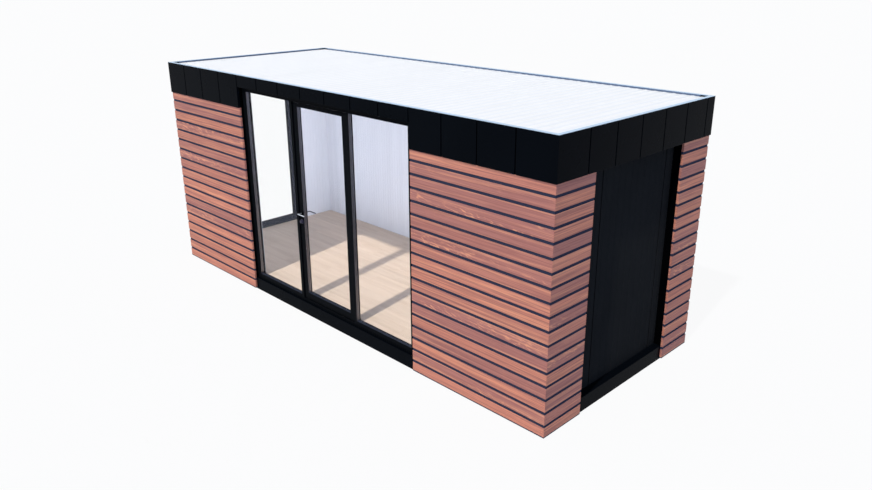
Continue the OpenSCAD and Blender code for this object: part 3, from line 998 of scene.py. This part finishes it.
class POD_OT_roof(PodOperator, bpy.types.Operator):
    """Ribbed roof sheet on its core, and the capping of the parapet"""
    bl_idname = "pod.roof"
    bl_label = "Roof"

    def make(self, scene):
        look = scene.pod_metal
        low, high = box_of("roof_panel")
        flat = high.z - look.rib_height
        count = math.floor((high.x - low.x - look.rib_width) / look.rib_pitch) + 1
        start = (low.x + high.x) / 2 - (count - 1) * look.rib_pitch / 2
        wide = look.rib_width / 2
        profile = (
            (-look.rib_pitch / 2, 0), (-wide, 0), (-wide / 2, look.rib_height),
            (wide / 2, look.rib_height), (wide, 0), (look.rib_pitch / 2, 0),
        )
        place = Matrix.Translation((start, 0, flat))
        sheet = ribbed("roof_sheet", profile, look.roof_t, (low.y, high.y), count, place, "roof")
        seat(sheet, "roof_sheet", "roof_panel")
        work = bmesh.new()
        block(work, low, (high.x, high.y, flat - look.roof_t))
        # The core's sides and underside take the black reveal coat: painted shade in the open soffit under
        # the fascia.
        core = as_object("roof_core", work, "reveal")
        relook(core, "roof", lambda face: face.normal.z > 0.5)
        seat(core, "roof_sheet", "roof_panel")
        dressed("corner_angles", "parapet_corners", "coal", "coal_metal", width=ARRIS["angle"])
        for node in ("capping_long", "capping_short"):
            piece = dressed(node + "_sheet", node, "capping", "capping_metal", width=ARRIS["capping"])
            leg = HIGH.z - look.leg_drop
            # The inner leg takes the darker upstand colour, painted shade on the one capping sheet.
            relook(piece, "upstand", lambda face: self.upright(face) and face.center.z < leg)
            relook(piece, "coal", lambda face: self.upright(face) and self.at_rim(face))

    def upright(self, face):
        """Whether a face of the capping stands upright."""
        return abs(face.normal.z) <= 0.3

    def at_rim(self, face):
        """Whether a face of the capping lies on the pod's outer faces."""
        return min(HIGH.x - abs(face.center.x), HIGH.y - abs(face.center.y)) < 0.001


class POD_OT_walls(PodOperator, bpy.types.Operator):
    """Walls with black edges, white linings with fine upright lines, the dark end panel and the ceiling"""
    bl_idname = "pod.walls"
    bl_label = "Walls"

    def make(self, scene):
        room = scene.pod_room
        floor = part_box("floor_finish")[1][2]
        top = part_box("ceiling")[0][2]
        inner = span("front_wall_left")[1].y
        walls = (
            ("front_wall_left", "front"), ("front_wall_right", "front"), ("left_wall_front", "left"),
            ("left_wall_back", "left"), ("left_wall_over_window", "left"), ("right_wall_front", "right"),
            ("right_wall_back", "right"), ("right_panel", "right"), ("back_wall", "back"),
        )
        for node, side in walls:
            low, high = span(node, side)
            dark = node == "right_panel"
            outer = low.y + (room.lining_t if dark else 0)
            work = bmesh.new()
            block(work, (low.x, outer, low.z), (high.x, high.y - room.lining_t, high.z))
            slot = "coal_metal" if dark else "white_panel"
            seat(on_side("core_" + node, work, side, "reveal"), slot, node)
            if side == "right":
                continue
            wide = POD_L if side in ("front", "back") else POD_D
            across = (max(low.x, inner), min(high.x, wide - inner))
            rise = (max(low.z, floor), top)
            lined("lining_" + node, side, across, high.y, rise, "lining", "white_panel")
        across = (inner, POD_D - inner)
        lined("lining_right", "right", across, inner, (floor, top), "lining", "white_panel")
        low, high = span("right_panel", "right")
        seams = (low.x, low.x + room.front_sheet, high.x - room.back_sheet, high.x)
        half = room.seam / 2
        for k, name in enumerate(("front", "middle", "back")):
            across = (seams[k] + (half if k > 0 else 0), seams[k + 1] - (half if k < 2 else 0))
            rise = (low.z, high.z)
            lined("end_panel_" + name, "right", across, low.y, rise, "panel", "coal_metal", True)
        low, high = box_of("ceiling")
        work = bmesh.new()
        block(work, (low.x, low.y, low.z + room.lining_t), high)
        seat(as_object("ceiling_core", work, "lining"), "white_panel", "ceiling")
        count = round((high.x - low.x) / room.line_pitch)
        profile = grooved((high.x - low.x) / count, room.line_depth, room.line_depth)
        place = Matrix(((1, 0, 0, low.x), (0, 1, 0, 0), (0, 0, -1, low.z), (0, 0, 0, 1)))
        sheet = ribbed("ceiling_lining", profile, room.lining_t, (low.y, high.y), count, place, "lining")
        seat(sheet, "white_panel", "ceiling")


class POD_OT_floor(PodOperator, bpy.types.Operator):
    """Oak planks, the deck under them and the base rails"""
    bl_idname = "pod.floor"
    bl_label = "Floor"

    def make(self, scene):
        room = scene.pod_room
        low, high = box_of("floor_finish")
        rows = round((high.y - low.y) / room.plank_width)
        wide = (high.y - low.y) / rows
        halves = round((high.x - low.x) / room.plank_length * 2)
        half = (high.x - low.x) / halves
        work = bmesh.new()
        joint = room.plank_joint / 2
        block(work, (joint, joint, 0), (1 - joint, wide - joint, high.z - low.z))
        soften(work, ARRIS["plank"])
        unit = as_object("plank", work, "oak")
        spots = []
        for row in range(rows):
            cuts = [0, 2 - row % 2]
            while cuts[-1] < halves:
                cuts.append(min(halves, cuts[-1] + 2))
            for a, b in zip(cuts, cuts[1:]):
                spots.append(((low.x + a * half, low.y + row * wide, low.z), ((b - a) * half, 1, 1)))
        seat(on_spots("floor_planks", unit, spots, "oak", 11), "oak_floor", "floor_finish")
        edges = dressed("floor_edge_boards", "floor_edges", "oak", "oak_floor", width=ARRIS["edge_board"])
        relook(edges, "slate", lambda face: face.center.x < low.x)
        dressed("deck", "floor_deck", "lining", "white_panel", width=ARRIS["deck"])
        dressed("rails_long", "base_rails_long", "coal", "coal_metal", width=ARRIS["rail"])
        dressed("rails_short", "base_rails_short", "coal", "coal_metal", width=ARRIS["rail"])


class POD_OT_glazing(PodOperator, bpy.types.Operator):
    """Frames of the front and of the end window, with sealed glass units and their gaskets"""
    bl_idname = "pod.glazing"
    bl_label = "Glazing"

    def make(self, scene):
        for node in ("front_jambs", "front_mullions", "front_head", "front_sills", "door_threshold"):
            dressed(node + "_bars", node, "frame", "frame_metal", width=ARRIS["frame"])
        for node in ("window_jambs", "window_rails"):
            dressed(node + "_bars", node, "slate", "frame_metal", width=ARRIS["frame"])
        self.units("side_panes", "pod", 1, "front_jambs", "satin")
        self.units("window_glass", "pod", 0, "window_jambs", "slate")
        self.units("door_glass", "door", 1, "door_rails", "satin")

    def units(self, node, body, axis, bars, trim):
        """Two panes, a spacer bar, an outer bead and an inner gasket for every pane of a node."""
        room = bpy.context.scene.pod_room
        looks = {"panes": "glass", "spacers": trim, "beads": trim, "gaskets": "rubber"}
        work = {name: bmesh.new() for name in looks}
        face, back = [corner[axis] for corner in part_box(bars)]
        for low, high in bars_of(node):
            near, far = low[axis], high[axis]
            outer = near + room.pane
            inner = far - room.pane
            for a, b in ((near, outer), (inner, far)):
                block(work["panes"], swapped(low, axis, a), swapped(high, axis, b))
            rings = (
                ("spacers", outer, inner),
                ("beads", face + room.bead_lip, near),
                ("gaskets", far, back - room.bead_lip),
            )
            for name, a, b in rings:
                ring(work[name], swapped(low, axis, a), swapped(high, axis, b), room.bead, axis)
        soften(work["beads"], ARRIS["bead"])
        soften(work["gaskets"], ARRIS["gasket"])
        foot, top = [corner[2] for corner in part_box(node)]
        for name, look in looks.items():
            made = as_object(f"{node}_{name}", work[name], look)
            if look == trim:
                relook(made, "slate", lambda at: min(at.center.z - foot, top - at.center.z) < 2 * room.bead)
            if name == "panes":
                seat(made, "glass", node, body=body)
            else:
                seat(made, "frame_metal", body=body)


class POD_OT_door(PodOperator, bpy.types.Operator):
    """Door leaf, hinges with their screws, levers, roses and lock cylinders"""
    bl_idname = "pod.door"
    bl_label = "Door"

    def make(self, scene):
        look = scene.pod_door
        dressed("leaf_stiles", "door_stiles", "frame", "frame_metal", "door", ARRIS["frame"])
        dressed("leaf_rails", "door_rails", "frame", "frame_metal", "door", ARRIS["frame"])
        dressed("hinges_frame", "hinge_plates_frame", "frame", "frame_metal", "pod", ARRIS["hinge"], True)
        dressed("hinges_door", "hinge_plates_door", "frame", "frame_metal", "door", ARRIS["hinge"], True)
        roses = dressed("roses", "handle_roses", "rose", "handle_steel", "door", ARRIS["rose"], True)
        dressed("lever_out", "lever_outside", "steel", "handle_steel", "handle", smooth=True)
        # The inner lever takes the dark rose coat as painted shade; it is steel like the outer lever.
        dressed("lever_in", "lever_inside", "rose", "handle_steel", "handle", smooth=True)
        self.screws(look, "frame", "pod", False)
        self.screws(look, "door", "door", True)
        low, high = box_of("handle_roses")
        relook(roses, "frame", lambda face: face.center.z > (low.z + high.z) / 2)
        work = bmesh.new()
        self.wedges(work, 2, look.plug, look.plug_slot / 2, 0, look.plug_head)
        at = Vector(((low.x + high.x) / 2, low.y, low.z + (high.x - low.x) / 2))
        work.transform(Matrix.Translation(at) @ Matrix.Rotation(math.pi / 2, 4, "X"))
        seat(as_object("key_plug", work, "rose"), "handle_steel", body="door")

    def wedges(self, work, count, radius, half, foot, top):
        """A disc cut by a slot or by a cross into wedges."""
        reach = 2 * math.pi / count
        off = math.asin(half / radius)
        for k in range(count):
            outline = arc(radius, k * reach + off, (k + 1) * reach - off, 10)
            if count > 2:
                outline.append(polar(half / math.sin(reach / 2), (k + 0.5) * reach))
            prism(work, outline, foot, top)

    def screws(self, look, half, body, upper):
        """Two cross-head screws in every plate of the hinges on the frame or on the door."""
        work = bmesh.new()
        prism(work, arc(look.screw, 0, 2 * math.pi, 20)[:-1], 0, look.rim)
        self.wedges(work, 4, look.crown, look.cross / 2, look.rim, look.head)
        work.transform(Matrix.Rotation(-math.pi / 2, 4, "X"))
        unit = as_object("screw", work, "steel")
        spots = []
        for low, high in bars_of("hinge_plates_" + half):
            x = low.x + look.inset if upper else high.x - look.inset
            for rise in (look.rise, look.rise + look.spacing):
                z = high.z - rise if upper else low.z + rise
                spots.append(((x, low.y + look.seat, z), (1, 1, 1)))
        seat(on_spots("hinge_screws_" + half, unit, spots, "steel", 5), "handle_steel", body=body)


class POD_OT_stage(PodOperator, bpy.types.Operator):
    """Pale floor, soft light all round, a key light and the camera"""
    bl_idname = "pod.stage"
    bl_label = "Stage"

    def make(self, scene):
        look = scene.pod_stage
        scene.view_settings.view_transform = "Standard"
        self.ground(look)
        self.sky(scene, look)
        self.key(look)
        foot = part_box("floor_finish")[1][2]
        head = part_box("ceiling")[0][2]
        tall = head - foot - 2 * look.lamp_margin
        middle = (foot + head) / 2
        quarter = math.pi / 2
        front = (0, LOW.y + look.front_lamp_in, middle)
        end = (HIGH.x - look.end_lamp_in, 0, middle)
        self.fill(look, "front_fill", front, (quarter, 0, 0), (look.front_lamp, tall), 1)
        self.fill(look, "end_fill", end, (0, quarter, 0), (tall, look.end_lamp), look.end_lamp_level)
        lens = bpy.data.cameras.new("camera")
        lens.lens = look.lens
        lens.shift_x, lens.shift_y = look.shift
        lens.clip_end = 500
        camera = linked("camera", lens)
        camera.location = look.eye
        camera.rotation_euler = look.turn
        scene.camera = camera

    def key(self, look):
        """The key light, far off."""
        lamp = bpy.data.lights.new("key", "SUN")
        lamp.energy = look.sun_level
        lamp.color = look.sun
        lamp.angle = look.sun_width
        flat = math.cos(look.sun_height)
        across = Vector((math.cos(look.sun_course), math.sin(look.sun_course), 0)) * flat
        ray = across - Vector((0, 0, math.sin(look.sun_height)))
        linked("key", lamp).rotation_euler = ray.to_track_quat("-Z", "Y").to_euler()

    def fill(self, look, name, place, turn, size, share):
        """A soft lamp inside the room that only its light shows."""
        lamp = bpy.data.lights.new(name, "AREA")
        lamp.shape = "RECTANGLE"
        lamp.size, lamp.size_y = size
        lamp.spread = look.lamp_spread
        lamp.energy = look.room_level * share * size[0] * size[1]
        lamp.color = look.room
        soft = linked(name, lamp)
        soft.location = place
        soft.rotation_euler = turn
        soft.visible_camera = False
        soft.visible_glossy = False
        soft.visible_transmission = False

    def seen(self, tree):
        """1 for what the eye, a reflection or clear glass shows, 0 for light that falls on the pod."""
        path = add(tree, "ShaderNodeLightPath")
        total = maths(tree, "MAXIMUM", path.outputs["Is Camera Ray"], path.outputs["Is Glossy Ray"])
        return maths(tree, "MAXIMUM", total, path.outputs["Is Transmission Ray"])

    def ground(self, look):
        """A floor that shows almost white and keeps a faint shadow."""
        made, tree, shader = new_finish("studio_floor")
        connect(tree, shader, {
            "Base Color": shaded(tree, look.ground, noise(tree, place_of(tree), 0.4, 2), 0.98, 1.02),
            "Roughness": 0.9,
            "Specular IOR Level": 0,
        })
        white = add(tree, "ShaderNodeEmission", None, {"Color": (1, 1, 1, 1), "Strength": 1})
        share = maths(tree, "MULTIPLY", self.seen(tree), look.ground_white)
        show(tree, "Material Output", share, shader, white)
        work = bmesh.new()
        bmesh.ops.create_grid(work, x_segments=8, y_segments=8, size=look.ground_reach)
        bmesh.ops.translate(work, verts=work.verts, vec=(0, 0, -look.ground_drop))
        floor = as_object("studio_floor", work)
        floor.data.materials.append(made)

    def sky(self, scene, look):
        """Soft light from all round, bluer from the right, that shows white."""
        world = bpy.data.worlds.new("studio")
        world.use_nodes = True
        tree = world.node_tree
        soft = tree.nodes["Background"]
        right = first_of(tree, add(tree, "ShaderNodeTexCoord").outputs["Generated"])
        light = mixed(tree, spread(tree, right, 0, 1, 0, 1), look.sky, look.sky_right)
        connect(tree, soft, {"Color": light, "Strength": look.sky_level})
        white = add(tree, "ShaderNodeBackground", None, {"Color": (1, 1, 1, 1), "Strength": 1})
        show(tree, "World Output", self.seen(tree), soft, white)
        scene.world = world


class POD_PT_panel(bpy.types.Panel):
    """Lists the pod's operators"""
    bl_idname = "POD_PT_panel"
    bl_label = "Garden office pod"
    bl_space_type = "VIEW_3D"
    bl_region_type = "UI"
    bl_category = "Pod"

    def draw(self, context):
        for operator in OPERATORS:
            self.layout.operator(operator.bl_idname)


GROUPS = {
    "pod_timber": PodTimber, "pod_metal": PodMetal, "pod_room": PodRoom, "pod_door": PodDoor,
    "pod_stage": PodStage,
}
OPERATORS = (
    POD_OT_stage, POD_OT_cladding, POD_OT_fascia, POD_OT_roof, POD_OT_walls, POD_OT_floor, POD_OT_glazing,
    POD_OT_door,
)


def register():
    for group in GROUPS.values():
        bpy.utils.register_class(group)
    for operator in OPERATORS:
        bpy.utils.register_class(operator)
    bpy.utils.register_class(POD_PT_panel)
    for name, group in GROUPS.items():
        setattr(bpy.types.Scene, name, PointerProperty(type=group))


def unregister():
    for name in GROUPS:
        delattr(bpy.types.Scene, name)
    bpy.utils.unregister_class(POD_PT_panel)
    for made in (*reversed(OPERATORS), *reversed(GROUPS.values())):
        bpy.utils.unregister_class(made)


def main():
    register()
    bpy.ops.pod.stage()
    bpy.ops.pod.cladding()
    bpy.ops.pod.fascia()
    bpy.ops.pod.roof()
    bpy.ops.pod.walls()
    bpy.ops.pod.floor()
    bpy.ops.pod.glazing()
    bpy.ops.pod.door()


if __name__ == "__main__":
    main()
